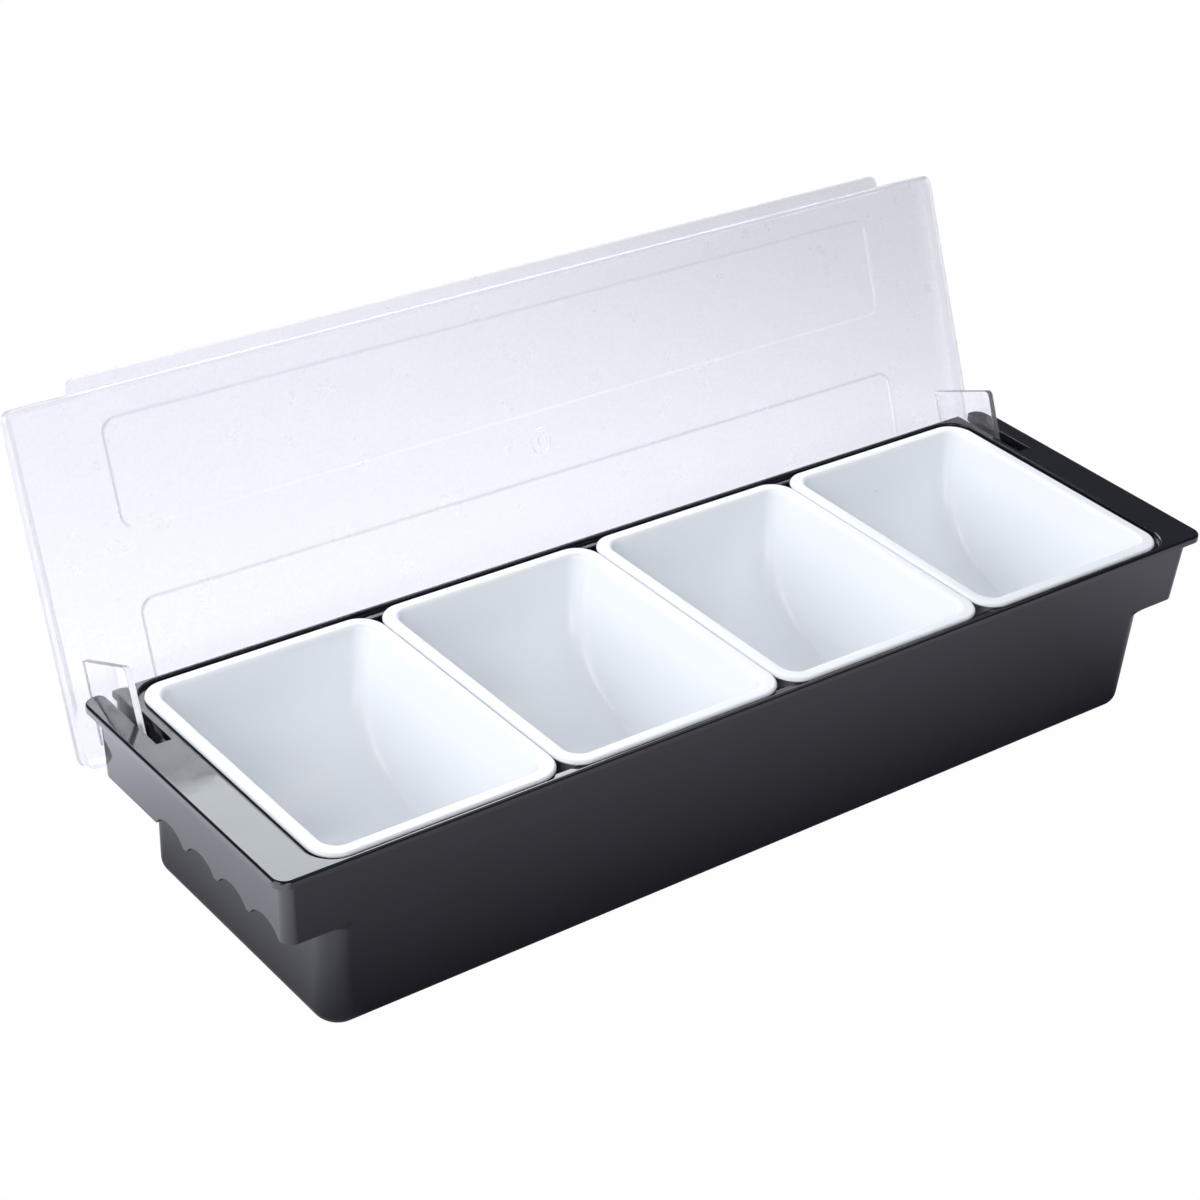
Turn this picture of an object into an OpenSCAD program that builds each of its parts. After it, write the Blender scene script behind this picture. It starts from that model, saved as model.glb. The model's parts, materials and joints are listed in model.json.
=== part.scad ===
// Condiment caddy: a long moulded tray holds four lift-out inserts under one clear lid.
// The lid turns on two ears that hang in slots at the rear of the tray's end flanges.
// The origin is the centre of the flat base, X runs along the tray, Y points to the
// hinge side and Z points up. The lid is drawn open, against its stop.

/* [Tray] */
// Length of the tray over its flange
flange_l = 495; // [470:1:520]
// Width of the tray over its flange
flange_w = 145; // [138:0.5:155]
// Height of the tray from the base to the top of the flange
tray_h = 86; // [84:1:110]
// Thickness of the flange
flange_t = 3.5; // [3:0.1:5]
// Corner radius of the flange
flange_r = 6; // [5:0.5:9]
// Radius along the upper edge of the flange
flange_edge_r = 1.2; // [0.3:0.1:1.4]
// How far the long edges of the flange stand out from the walls
side_overhang = 3.8; // [3:0.1:5]
// How far the short edges of the flange stand out from the end skirts
end_overhang = 4.5; // [3.5:0.1:6]
// Thickness of the tray's walls and floor
tray_wall = 2.5; // [2:0.1:3]
// How far each wall leans in from top to base
wall_draft = 2.5; // [1:0.1:4]
// Radius of the tray's upright corners
body_r = 11; // [9:0.5:13]
// Radius where the walls meet the base
base_r = 7; // [5:0.5:8]

/* [Seat for the insert rims] */
// Depth of the seat, which is also the thickness of the rims
seat_d = 2; // [1.5:0.1:2.5]
// Width of the flange left at the front and rear of the seat
seat_side = 2.2; // [1.8:0.1:3]
// Width of the flange left at each end of the seat
seat_end = 19.3; // [18:0.1:20]
// Corner radius of the seat
seat_r = 13; // [12:0.5:14]

/* [End handles] */
// Height of the end skirts, measured from the top of the flange
skirt_h = 34; // [30:0.5:38]
// Thickness of the end skirts
skirt_t = 2.5; // [2:0.1:3]
// How far each end skirt leans in from top to bottom
skirt_draft = 2.5; // [1:0.1:3]
// Corner radius of the end skirts
skirt_r = 5; // [4:0.5:6]
// Width of one finger scallop along the skirt's lower edge
scallop_w = 20; // [16:0.5:21]
// Depth of one finger scallop
scallop_d = 5.7; // [4:0.1:7]
// Flat left between two scallops
scallop_land = 2.75; // [1:0.05:4]
// Distance from the front wall to the first scallop
scallop_start = 6; // [5:0.5:8]

/* [Inserts] */
// Gap between the rims of two inserts
rim_gap = 0.6; // [0.4:0.1:1.5]
// Gap between the outer rims and the short ends of the seat
rim_end_gap = 2.4; // [0.6:0.1:3]
// Gap between the rims and the long sides of the seat
rim_side_gap = 1.6; // [0.5:0.1:2]
// Corner radius of a rim
rim_r = 12; // [10:0.5:12.5]
// Width of a rim along the insert's short way
rim_w = 6.8; // [6:0.1:9]
// Radius along the edges of a rim
rim_edge_r = 1; // [0.3:0.1:1.2]
// Wall and floor thickness of an insert
insert_wall = 2; // [1.5:0.1:2.5]
// Depth of the hollow below the top of the rim
hollow_d = 62; // [50:1:64]
// Gap between an insert's wall and the tray's end wall
insert_end_gap = 2.5; // [0.5:0.1:3]
// Gap between an insert's wall and the tray's long walls at the top
insert_side_gap = 1.8; // [1:0.1:3]
// Slope of the insert's walls, inwards for each unit of depth
insert_slope = 0.13; // [0.12:0.005:0.16]
// Radius of the scooped floor at the front and rear
scoop_r = 46; // [36:1:48]
// Radius where the side walls meet the floor
floor_r = 5; // [3:0.5:7]
// Corner radius inside the hollow
hollow_r = 7; // [5:0.5:8]

/* [Lid] */
// Thickness of the lid
lid_t = 2; // [1.6:0.1:2.6]
// How far the closed lid's underside is above the flange
lid_rise = 8; // [7:0.1:10]
// Gap under the closed lid's skirt
lid_gap = 1; // [0.6:0.1:1.5]
// How far each end of the flange stands out past the lid
lid_end_inset = 0.5; // [0.2:0.1:1.5]
// How far the closed lid stands out past the front of the flange, or stays behind it if negative
lid_front_over = -1.4; // [-1.5:0.1:2]
// How far the closed lid stands out past the rear of the flange
lid_rear_over = 2.4; // [2.2:0.1:3]
// How far the lid's plate falls from its rear edge to its front edge
lid_fall = 2.3; // [0:0.1:3]
// Corner radius of the lid
lid_r = 4.5; // [3:0.5:6]
// Radius along the lid's upper edge
lid_edge_r = 1.2; // [0.6:0.1:1.6]
// Width of the finger lip along the front of the lid
lip_w = 5.7; // [4:0.1:10]
// How far each end of the finger lip sits in from the end of the lid
lip_inset = 30; // [10:1:60]
// Corner radius of the finger lip
lip_r = 4; // [1:0.5:4]
// Width of a raised panel across the lid
panel_w = 47; // [40:1:52]
// Distance from the lid's long edges to the panels
panel_side = 12.3; // [10:0.1:16]
// Distance from the lid's ends to the panels
panel_end = 41; // [35:1:60]
// Height of a raised panel
panel_d = 0.5; // [0.3:0.1:0.8]
// Corner radius of a raised panel
panel_r = 7; // [4:0.5:10]

/* [Hinge] */
// Distance from the rear edge of the flange to the pivot
pivot_inset = 11.6; // [11:0.1:12]
// Distance from the top of the flange down to the pivot
pivot_drop = 13.1; // [12.6:0.1:13.6]
// Distance from the end of the flange to the middle of an ear
ear_inset = 13; // [12.5:0.1:13.5]
// Thickness of an ear
ear_t = 3; // [2.4:0.1:3.4]
// Reach of an ear in front of the pivot
ear_front = 28.1; // [24:0.1:31]
// Reach of an ear behind the pivot
ear_rear = 7.3; // [5:0.1:8]
// Reach of an ear below the pivot
ear_low = 16.7; // [10:0.1:18]
// Radius at the lower corners of an ear
ear_r = 2.5; // [1.5:0.1:5]
// Gap on each side of an ear in its slot
slot_gap = 1.75; // [1.2:0.05:2]
// Gap between the turning ear and the front end of its slot
slot_end_gap = 0.7; // [0.5:0.1:2]
// Diameter of the stud on an ear
stud_d = 6; // [4:0.1:8]
// Radial clearance of a stud in its socket
stud_clear = 0.05; // [0.02:0.01:0.1]
// How far a stud reaches into the hinge cheek
stud_reach = 1.6; // [1.2:0.1:1.7]
// Clearance at the end of a stud
socket_end_gap = 0.6; // [0.3:0.1:1]
// Thickness of the cheek on the inner side of the slot
cheek_t = 2.2; // [1.8:0.1:2.5]
// Reach of the cheeks in front of the pivot
cheek_front = 9; // [7:0.5:14]
// Reach of the cheeks below the pivot
cheek_low = 9; // [7:0.5:12]
// Gap between the open lid and the tray's rear wall
stop_gap = 0.3; // [0.2:0.05:1]
// Clearance around the flange corner as the lid's end skirts turn past it
turn_clear = 1.2; // [0.8:0.1:1.5]

/* [Hidden] */
insert_count = 4;
scallop_count = 4;
arc_steps = 8;
edge_step = 30;
scoop_step = 10;
foot_step = 15;
bore_facets = 64;
cut = 1;
// Least half width that the corners leave flat on an insert's floor
floor_flat = 0.5;
black = [0.06, 0.06, 0.07];
white = [0.93, 0.94, 0.95];
clear = [0.86, 0.87, 0.92, 0.4];

// Half sizes of the tray, seen from above
flange_hx = flange_l / 2;
flange_hy = flange_w / 2;
wall_hy = flange_hy - side_overhang;
skirt_hx = flange_hx - end_overhang;
seat_hx = flange_hx - seat_end;
seat_hy = flange_hy - seat_side;
flange_low = tray_h - flange_t;
seat_z = tray_h - seat_d;
skirt_low = tray_h - skirt_h;

// Sizes of one insert, seen from above
rim_hx = (seat_hx - rim_end_gap - (insert_count - 1) * rim_gap / 2) / insert_count;
rim_hy = seat_hy - rim_side_gap;
insert_pitch = 2 * rim_hx + rim_gap;
hollow_hx = rim_hx - rim_w;
hollow_hy = wall_hy - tray_wall - insert_side_gap - insert_wall;
last_insert_x = insert_pitch * (insert_count - 1) / 2;

// Half length of the tray's body where it meets the flange, at the skirt's foot and at the base
body_top_hx = insert_end_x(0) + insert_end_gap + tray_wall;
body_mid_hx = insert_end_x(skirt_h) + insert_end_gap + tray_wall;
body_low_hx = body_mid_hx - wall_draft * skirt_low / flange_low;

// Pivot and open angle of the lid
pivot_y = flange_hy - pivot_inset;
pivot_z = tray_h - pivot_drop;
ear_x = flange_hx - ear_inset;
slot_hw = ear_t / 2 + slot_gap;
mid_flange = flange_low + flange_t / 2;
wall_angle = atan(wall_draft / flange_low);
lid_rear_y = flange_hy + lid_rear_over;
lid_foot_z = tray_h + lid_gap;
foot_angle = atan2(lid_foot_z - pivot_z, lid_rear_y - pivot_y);
foot_reach = norm([lid_rear_y - pivot_y, lid_foot_z - pivot_z]);
wall_reach = (wall_hy - pivot_y) * cos(wall_angle) - (flange_low - pivot_z) * sin(wall_angle);
open_angle = foot_angle + acos((wall_reach + stop_gap) / foot_reach) + wall_angle;

// Ear, slot and lid outlines
ear_swing = norm([ear_front - ear_r, ear_low - ear_r]) + ear_r;
slot_front = sqrt(pow(ear_swing + slot_end_gap, 2) - pow(pivot_drop - flange_t, 2));
lobe_r = ear_inset - slot_hw - flange_r;
lid_hx = flange_hx - lid_end_inset;
lid_hy = (flange_w + lid_front_over + lid_rear_over) / 2;
lid_mid_y = (lid_rear_over - lid_front_over) / 2;
lid_under = tray_h + lid_rise;
lid_top = lid_under + lid_t;
turn_r = norm([pivot_inset, pivot_drop]) + turn_clear;

// Half length of the outermost insert's wall, measured from the tray's middle
function insert_end_x(depth) = last_insert_x + hollow_hx + insert_wall - insert_slope * depth;

// Half width of the tray's outer wall at a height above the base
function wall_y(z) = wall_hy - wall_draft * (flange_low - z) / flange_low;

// Points of a rounded rectangle at one height, anticlockwise from above
function ring(hx, hy, r, z) = [
    for (q = [0:3])
        for (i = [0:arc_steps])
            let (a = 90 * (q + i / arc_steps))
            let (sx = q == 0 || q == 3 ? 1 : -1)
            let (sy = q < 2 ? 1 : -1)
            [sx * (hx - r) + r * cos(a), sy * (hy - r) + r * sin(a), z]
];

// The same rounded rectangle without its height
function outline(hx, hy, r) = [for (p = ring(hx, hy, r, 0)) [p.x, p.y]];

// How far a fillet draws its wall in, at a height above the floor
function fillet_in(r, h) = h >= r ? 0 : r - sqrt(r * r - pow(r - h, 2));

// Closed solid through a list of rings that start at its bottom and end at its last cap
module loft(rings) {
    n = len(rings[0]);
    last = len(rings) - 1;
    points = [for (one = rings) for (p = one) p];
    sides = [
        for (k = [0:last - 1])
            for (i = [0:n - 1])
                let (j = (i + 1) % n)
                [k * n + i, (k + 1) * n + i, (k + 1) * n + j, k * n + j]
    ];
    first_cap = [for (i = [0:n - 1]) i];
    last_cap = [for (i = [n - 1:-1:0]) last * n + i];
    polyhedron(points, concat([first_cap], sides, [last_cap]), convexity = 6);
}

// Plate with a rounded rectangle outline and a rounded upper edge
module edged_plate(hx, hy, r, z0, z1, edge) {
    steps = [for (a = [0:edge_step:90]) [edge * (1 - cos(a)), z1 - edge + edge * sin(a)]];
    loft(concat(
        [ring(hx, hy, r, z0)],
        [for (s = steps) ring(hx - s[0], hy - s[0], r - s[0], s[1])]
    ));
}

// Everything in both ends of the tray
module both_ends() {
    children();
    mirror([1, 0, 0])
        children();
}

// Rings of the tray's body, grown or shrunk by a wall, from a floor height upwards
function body_rings(inset, floor_z, top_z, foot_r) = concat(
    [
        for (a = [0:foot_step:90])
            let (h = foot_r * (1 - cos(a)))
            let (z = floor_z + h)
            let (s = inset + fillet_in(foot_r, h))
            ring(body_x(z) - s, wall_y(z) - s, body_r - s, z)
    ],
    [
        ring(body_x(skirt_low) - inset, wall_y(skirt_low) - inset, body_r - inset, skirt_low),
        ring(body_x(flange_low) - inset, wall_y(flange_low) - inset, body_r - inset, top_z)
    ]
);

// Half length of the body at a height above the base
function body_x(z) = z < skirt_low
    ? body_low_hx + (body_mid_hx - body_low_hx) * z / skirt_low
    : body_mid_hx + (body_top_hx - body_mid_hx) * (z - skirt_low) / (flange_low - skirt_low);

// Skirt block around one whole tray, before the body is added
module skirt_block(inset, z0, z1) {
    low_x = skirt_hx - skirt_draft;
    loft([
        ring(low_x - inset, wall_y(skirt_low) - inset, skirt_r - inset, z0),
        ring(skirt_hx - inset, wall_y(flange_low) - inset, skirt_r - inset, z1)
    ]);
}

// Cheeks on both sides of one slot, which carry the ear
module cheeks() {
    low = pivot_z - cheek_low;
    rear = wall_y(low) - tray_wall / 2;
    front = pivot_y - cheek_front;
    inner_x = ear_x - slot_hw - cheek_t;
    outer_x = ear_x + slot_hw;
    outer_t = skirt_hx - skirt_draft - skirt_t / 2 - outer_x;
    translate([inner_x, front, low])
        cube([cheek_t, rear - front, mid_flange - low]);
    translate([outer_x, front, low])
        cube([outer_t, rear - front, mid_flange - low]);
}

// Slot for one ear, open to the rear, with the lobe's inner corner rounded off
module slot() {
    translate([ear_x - slot_hw, pivot_y - slot_front, skirt_low - cut])
        cube([2 * slot_hw, flange_w, skirt_h + 2 * cut]);
    translate([ear_x + slot_hw - cut, flange_hy - lobe_r, flange_low - cut])
        difference() {
            cube([lobe_r + cut, lobe_r + cut, flange_t + 2 * cut]);
            translate([lobe_r + cut, 0, -cut])
                cylinder(h = flange_t + 4 * cut, r = lobe_r, $fn = bore_facets);
        }
}

// Blind socket for one stud, opening into the slot
module socket() {
    translate([ear_x + slot_hw - cut, pivot_y, pivot_z])
        rotate([0, 90, 0])
            cylinder(h = cut + stud_reach + socket_end_gap, r = stud_d / 2 + stud_clear, $fn = bore_facets);
}

// Finger scallops along the lower edge of one end skirt
module scallops() {
    r = (pow(scallop_w / 2, 2) + pow(scallop_d, 2)) / (2 * scallop_d);
    first = -wall_y(skirt_low) + scallop_start + scallop_w / 2;
    for (i = [0:scallop_count - 1])
        translate([body_top_hx + skirt_t, first + i * (scallop_w + scallop_land), skirt_low + scallop_d - r])
            rotate([0, 90, 0])
                cylinder(h = flange_hx - body_top_hx, r = r, $fn = bore_facets);
}

module tray() {
    color(black)
        difference() {
            union() {
                difference() {
                    skirt_block(0, skirt_low, mid_flange);
                    skirt_block(skirt_t, skirt_low - cut, flange_low);
                }
                loft(body_rings(0, 0, flange_low + flange_t / 4, base_r));
                edged_plate(flange_hx, flange_hy, flange_r, flange_low, tray_h, flange_edge_r);
                both_ends()
                    cheeks();
            }
            loft(body_rings(tray_wall, tray_wall, seat_z + cut / 2, base_r - tray_wall));
            translate([0, 0, seat_z])
                linear_extrude(seat_d + cut)
                    polygon(outline(seat_hx, seat_hy, seat_r));
            both_ends() {
                slot();
                socket();
                scallops();
            }
        }
}

// One insert around its own middle, with the rim's top at the flange's top
function insert_ring(grow, h) =
    let (z = tray_h - hollow_d + h)
    let (lean = insert_slope * (hollow_d - h))
    let (x = hollow_hx + grow - lean - fillet_in(floor_r + grow, h + grow))
    let (y = hollow_hy + grow - lean - fillet_in(scoop_r + grow, h + grow))
    ring(x, y, min(hollow_r + grow, y - floor_flat), z);

module insert() {
    // Heights above the hollow's floor, close together where the scoop is flat
    rise = [for (a = [0:scoop_step:90]) scoop_r * (1 - cos(a))];
    outer = [for (h = rise) insert_ring(insert_wall, h - insert_wall * (1 - h / scoop_r))];
    inner = [for (i = [len(rise) - 1:-1:0]) insert_ring(0, rise[i])];
    e = rim_edge_r;
    lip = [for (a = [0:edge_step:90]) [e * (1 - cos(a)), tray_h - e + e * sin(a)]];
    loft(concat(
        outer,
        [insert_ring(insert_wall, hollow_d - seat_d)],
        [ring(rim_hx, rim_hy, rim_r, seat_z)],
        [for (s = lip) ring(rim_hx - s[0], rim_hy - s[0], rim_r - s[0], s[1])],
        [for (i = [len(lip) - 1:-1:0]) ring(
            hollow_hx + lip[i][0],
            hollow_hy + lip[i][0],
            hollow_r + lip[i][0],
            lip[i][1])],
        inner
    ));
}

module placed_insert(number) {
    color(white)
        translate([(number - 1) * insert_pitch - last_insert_x, 0, 0])
            insert();
}

// One ear with its outward stud, in the closed lid's place
module ear() {
    translate([ear_x - ear_t / 2, pivot_y, pivot_z])
        difference() {
            translate([0, -ear_front, -ear_low])
                cube([ear_t, ear_front + ear_rear, ear_low + pivot_drop + lid_rise + lid_t / 4]);
            corner_cut(-ear_front + ear_r, -1);
            corner_cut(ear_rear - ear_r, 1);
        }
    translate([ear_x, pivot_y, pivot_z])
        rotate([0, 90, 0])
            cylinder(h = slot_hw + stud_reach, r = stud_d / 2, $fn = bore_facets);
}

// Material outside the round lower corner of an ear, at one side of it
module corner_cut(y, side) {
    translate([-cut, y, -ear_low + ear_r])
        difference() {
            translate([0, side > 0 ? 0 : -ear_r - cut, -ear_r - cut])
                cube([ear_t + 2 * cut, ear_r + cut, ear_r + cut]);
            translate([-cut, 0, 0])
                rotate([0, 90, 0])
                    cylinder(h = ear_t + 4 * cut, r = ear_r, $fn = bore_facets);
        }
}

// Flat shape of one panel, in front of or behind the lid's middle
module panel(side, inset, z, height) {
    translate([0, side * (lid_hy - panel_side - panel_w / 2), z])
        linear_extrude(height)
            polygon(outline(lid_hx - panel_end - inset, panel_w / 2 - inset, panel_r - inset));
}

// Lets the lid's plate fall towards its front edge
module leaned() {
    slope = lid_fall / (2 * lid_hy);
    multmatrix([[1, 0, 0, 0], [0, 1, 0, 0], [0, slope, 1, -slope * lid_hy], [0, 0, 0, 1]])
        children();
}

// The lid's plate, skirt, panels and finger lip, with the skirt still too long
module long_lid() {
    difference() {
        union() {
            edged_plate(lid_hx, lid_hy, lid_r, lid_foot_z - cut, lid_top, lid_edge_r);
            for (side = [-1, 1])
                panel(side, 0, lid_under + lid_t / 2, lid_t / 2 + panel_d);
            translate([0, -lid_hy, lid_under])
                linear_extrude(lid_t)
                    polygon(outline(lid_hx - lip_inset, lip_w, lip_r));
        }
        translate([0, 0, lid_foot_z - 2 * cut])
            linear_extrude(lid_under - lid_foot_z + 2 * cut)
                polygon(outline(lid_hx - lid_t, lid_hy - lid_t, lid_r - lid_t));
        for (side = [-1, 1])
            panel(side, lid_t / 2, lid_under - cut, cut + panel_d);
    }
}

// The lid closed over the tray
module closed_lid() {
    translate([0, lid_mid_y, 0])
        difference() {
            leaned()
                long_lid();
            translate([-flange_l, -flange_w, lid_foot_z - lid_fall - 2 * cut])
                cube([2 * flange_l, 2 * flange_w, lid_fall + 2 * cut]);
            both_ends()
                translate([lid_hx - lid_t - cut / 2, pivot_y - lid_mid_y, pivot_z])
                    rotate([0, 90, 0])
                        cylinder(h = lid_t + cut, r = turn_r, $fn = bore_facets);
        }
    both_ends()
        ear();
}

module lid() {
    color(clear)
        translate([0, pivot_y, pivot_z])
            rotate([-open_angle, 0, 0])
                translate([0, -pivot_y, -pivot_z])
                    closed_lid();
}

module insert_1() {
    placed_insert(1);
}

module insert_2() {
    placed_insert(2);
}

module insert_3() {
    placed_insert(3);
}

module insert_4() {
    placed_insert(4);
}

tray();
lid();
insert_1();
insert_2();
insert_3();
insert_4();
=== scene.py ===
"""Condiment caddy: a glossy black tray, four white inserts and a clear lid that flips back.

Every size is in metres in the row frame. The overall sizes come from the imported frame, and the
rest repeat the part's own values. Each piece is built at rest and rides on the body it dresses.
"""

import json
import math

import bmesh
import bpy
from mathutils import Matrix, Quaternion, Vector

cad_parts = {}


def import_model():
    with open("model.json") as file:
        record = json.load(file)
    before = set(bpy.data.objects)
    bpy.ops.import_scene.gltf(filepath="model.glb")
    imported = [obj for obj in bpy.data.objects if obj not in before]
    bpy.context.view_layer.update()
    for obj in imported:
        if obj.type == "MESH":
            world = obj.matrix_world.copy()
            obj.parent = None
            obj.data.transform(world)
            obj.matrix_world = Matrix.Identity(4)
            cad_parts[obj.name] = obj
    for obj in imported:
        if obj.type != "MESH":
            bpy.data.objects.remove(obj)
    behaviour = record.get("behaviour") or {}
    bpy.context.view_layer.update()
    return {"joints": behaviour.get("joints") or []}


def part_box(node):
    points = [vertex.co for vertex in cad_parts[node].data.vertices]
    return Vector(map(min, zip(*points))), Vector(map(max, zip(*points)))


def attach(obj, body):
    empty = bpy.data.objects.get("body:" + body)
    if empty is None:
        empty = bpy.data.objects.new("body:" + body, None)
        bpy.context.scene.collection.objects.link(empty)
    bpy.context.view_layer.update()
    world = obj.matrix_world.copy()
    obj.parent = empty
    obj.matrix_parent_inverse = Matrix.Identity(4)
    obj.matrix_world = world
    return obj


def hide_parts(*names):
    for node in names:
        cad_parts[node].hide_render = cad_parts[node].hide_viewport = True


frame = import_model()

MM = 0.001

# How far a tool reaches past what it cuts, a width too small to see, how close points merge,
# and a distance beyond every piece
CUT = 1.0 * MM
HAIR = 0.03 * MM
MERGE = 0.002 * MM
FAR = 1.0

# Tray
flange_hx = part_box("tray")[1].x
flange_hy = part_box("tray")[1].y
tray_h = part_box("tray")[1].z
flange_t = 3.5 * MM
flange_r = 6 * MM
flange_edge_r = 1.2 * MM
side_overhang = 3.8 * MM
end_overhang = 4.5 * MM
tray_wall = 2.5 * MM
wall_draft = 2.5 * MM
body_r = 11 * MM
base_r = 7 * MM
seat_d = 2 * MM
seat_side = 2.2 * MM
seat_end = 19.3 * MM
seat_r = 13 * MM
seat_edge_r = 0.5 * MM
seat_lip_r = 0.7 * MM
skirt_h = 34 * MM
skirt_t = 2.5 * MM
skirt_draft = 2.5 * MM
skirt_r = 5 * MM
scallop_w = 20 * MM
scallop_d = 5.7 * MM
scallop_land = 2.75 * MM
scallop_start = 6 * MM
scallop_count = 4
tray_edge_r = 0.35 * MM
wing_fillet_r = 2.5 * MM

# Inserts
INSERTS = ["insert_1", "insert_2", "insert_3", "insert_4"]
rim_hx = (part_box("insert_1")[1].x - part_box("insert_1")[0].x) / 2
rim_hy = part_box("insert_1")[1].y
rim_w = 6.8 * MM
rim_r = 12 * MM
rim_edge_r = 1.3 * MM
rim_foot_r = 0.7 * MM
lip_edge_r = 1.9 * MM
insert_wall = 2 * MM
insert_side_gap = 1.8 * MM
insert_end_gap = 2.5 * MM
insert_slope = 0.13
hollow_d = 62 * MM
hollow_r = 7 * MM
hollow_flat = 0.5 * MM
scoop_r = 46 * MM
floor_r = 5 * MM

# Lid
lid_t = 2 * MM
lid_rise = 8 * MM
lid_gap = 1 * MM
lid_end_inset = 0.5 * MM
lid_front_over = -1.4 * MM
lid_rear_over = 2.4 * MM
lid_fall = 2.3 * MM
lid_r = 4.5 * MM
lid_edge_r = 1.2 * MM
lid_inner_r = 0.8 * MM
lid_foot_r = 0.4 * MM
lid_edge_bevel = 0.3 * MM
lip_w = 5.7 * MM
lip_inset = 30 * MM
lip_r = 4 * MM
lip_round = 0.6 * MM
lip_skin = 0.05 * MM
panel_w = 47 * MM
panel_side = 12.3 * MM
panel_end = 41 * MM
panel_d = 0.5 * MM
panel_r = 7 * MM
panel_slope = 1.3 * MM
panel_soft = 0.35
recess_draw = 0.2 * MM

# Hinge
hinge = next(j for j in frame["joints"] if j["name"] == "lid_hinge")
pivot_y, pivot_z = hinge["pos_m"][1:]
open_angle = -math.radians(hinge["range_deg"][0])
ear_inset = 13 * MM
ear_t = 3 * MM
ear_front = 28.1 * MM
ear_rear = 7.3 * MM
ear_low = 16.7 * MM
ear_r = 2.5 * MM
slot_gap = 1.75 * MM
slot_end_gap = 0.7 * MM
stud_r = 3 * MM
stud_clear = 0.05 * MM
stud_reach = 1.6 * MM
socket_end_gap = 0.6 * MM
cheek_t = 2.2 * MM
cheek_front = 9 * MM
cheek_low = 9 * MM
turn_clear = 1.2 * MM

# Mark that the mould's gate leaves on the underside of the closed lid
gate_x = 0.3 * MM
gate_y = -1.4 * MM
gate_r = 5.8 * MM
gate_w = 1.3 * MM
gate_h = 0.4 * MM
gate_stub_r = 2.5 * MM

# Sizes that follow from those
wall_hy = flange_hy - side_overhang
skirt_hx = flange_hx - end_overhang
seat_hx = flange_hx - seat_end
seat_hy = flange_hy - seat_side
flange_low = tray_h - flange_t
seat_z = tray_h - seat_d
skirt_low = tray_h - skirt_h
hollow_hx = rim_hx - rim_w
hollow_hy = wall_hy - tray_wall - insert_side_gap - insert_wall
hollow_floor = tray_h - hollow_d
last_insert_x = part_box("insert_4")[1].x - rim_hx
ear_x = flange_hx - ear_inset
slot_hw = ear_t / 2 + slot_gap
pivot_drop = tray_h - pivot_z
ear_swing = math.hypot(ear_front - ear_r, ear_low - ear_r) + ear_r
slot_front = math.sqrt((ear_swing + slot_end_gap) ** 2 - (pivot_drop - flange_t) ** 2)
lobe_r = ear_inset - slot_hw - flange_r
lid_hx = flange_hx - lid_end_inset
lid_hy = flange_hy + (lid_front_over + lid_rear_over) / 2
lid_mid_y = (lid_rear_over - lid_front_over) / 2
lid_foot_z = tray_h + lid_gap
lid_under = tray_h + lid_rise
lid_top = lid_under + lid_t
turn_r = math.hypot(flange_hy - pivot_y, pivot_drop) + turn_clear

# Steps round a corner, along a small edge, up a panel's step and round a bore
ARC_STEPS = 12
EDGE_STEPS = 4
PANEL_STEPS = 6
BORE_STEPS = 64

# Degrees between the rings of the tray's foot and between those of an insert's scoop
FOOT_TURN = 10
SCOOP_TURN = 5

# Degrees up to which two faces are shaded as one
SMOOTH_TURN = 32

# The camera that took the photograph, in the row frame
CAMERA_AT = Vector((-0.69759, -0.77224, 0.70526))
CAMERA_LOOK = Vector((0.55429, 0.65751, -0.51034))
CAMERA_ROLL = math.radians(4.445)
CAMERA_LENS = 85.82
CAMERA_SENSOR = 36.0
CAMERA_NEAR = 0.05
CAMERA_FAR = 50

# How far the floor reaches to each side
FLOOR_REACH = 6

# Places of the lid's finishes in its list of materials. The third and fourth are tinted darker, as painted
# shade.
FROSTED, POLISHED, PAINTED_SHADE_EDGE, VEILED_AND_PAINTED_SHADE = range(4)


def ring(hx, hy, r, z):
    """Points of a rounded rectangle at one height, anticlockwise from above."""
    points = []
    for quarter in range(4):
        sx = 1 if quarter in (0, 3) else -1
        sy = 1 if quarter < 2 else -1
        for i in range(ARC_STEPS + 1):
            a = math.radians(90 * (quarter + i / ARC_STEPS))
            points.append((sx * (hx - r) + r * math.cos(a), sy * (hy - r) + r * math.sin(a), z))
    return points


def edge_steps(r):
    """(draw-in, rise) pairs along a quarter round of radius r, from its upright side to its flat."""
    angles = [math.pi / 2 * i / EDGE_STEPS for i in range(EDGE_STEPS + 1)]
    return [(r * (1 - math.cos(a)), r * math.sin(a)) for a in angles]


def reversed_foot(r):
    """(draw-in, height) pairs along a quarter round at the lower edge of a plate, upwards."""
    return [(d, r - rise) for d, rise in reversed(edge_steps(r))]


def made(name, bm):
    """A new object that holds the mesh, with its faces pointing outwards."""
    bmesh.ops.recalc_face_normals(bm, faces=bm.faces)
    mesh = bpy.data.meshes.new(name)
    bm.to_mesh(mesh)
    bm.free()
    obj = bpy.data.objects.new(name, mesh)
    bpy.context.scene.collection.objects.link(obj)
    return obj


def loft(name, rings):
    """Closed solid through a list of rings, capped at the first and the last."""
    bm = bmesh.new()
    rows = [[bm.verts.new(p) for p in one] for one in rings]
    count = len(rows[0])
    for low, high in zip(rows, rows[1:]):
        for i in range(count):
            j = (i + 1) % count
            bm.faces.new((low[i], low[j], high[j], high[i]))
    bm.faces.new(rows[0])
    bm.faces.new(rows[-1])
    return made(name, bm)


def block(low, high):
    """A box between two corners, as a tool for the Boolean steps."""
    bm = bmesh.new()
    bmesh.ops.create_cube(bm, size=1)
    for v in bm.verts:
        v.co = [a + (b - a) * (c + 0.5) for a, b, c in zip(low, high, v.co)]
    return made("block", bm)


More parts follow.
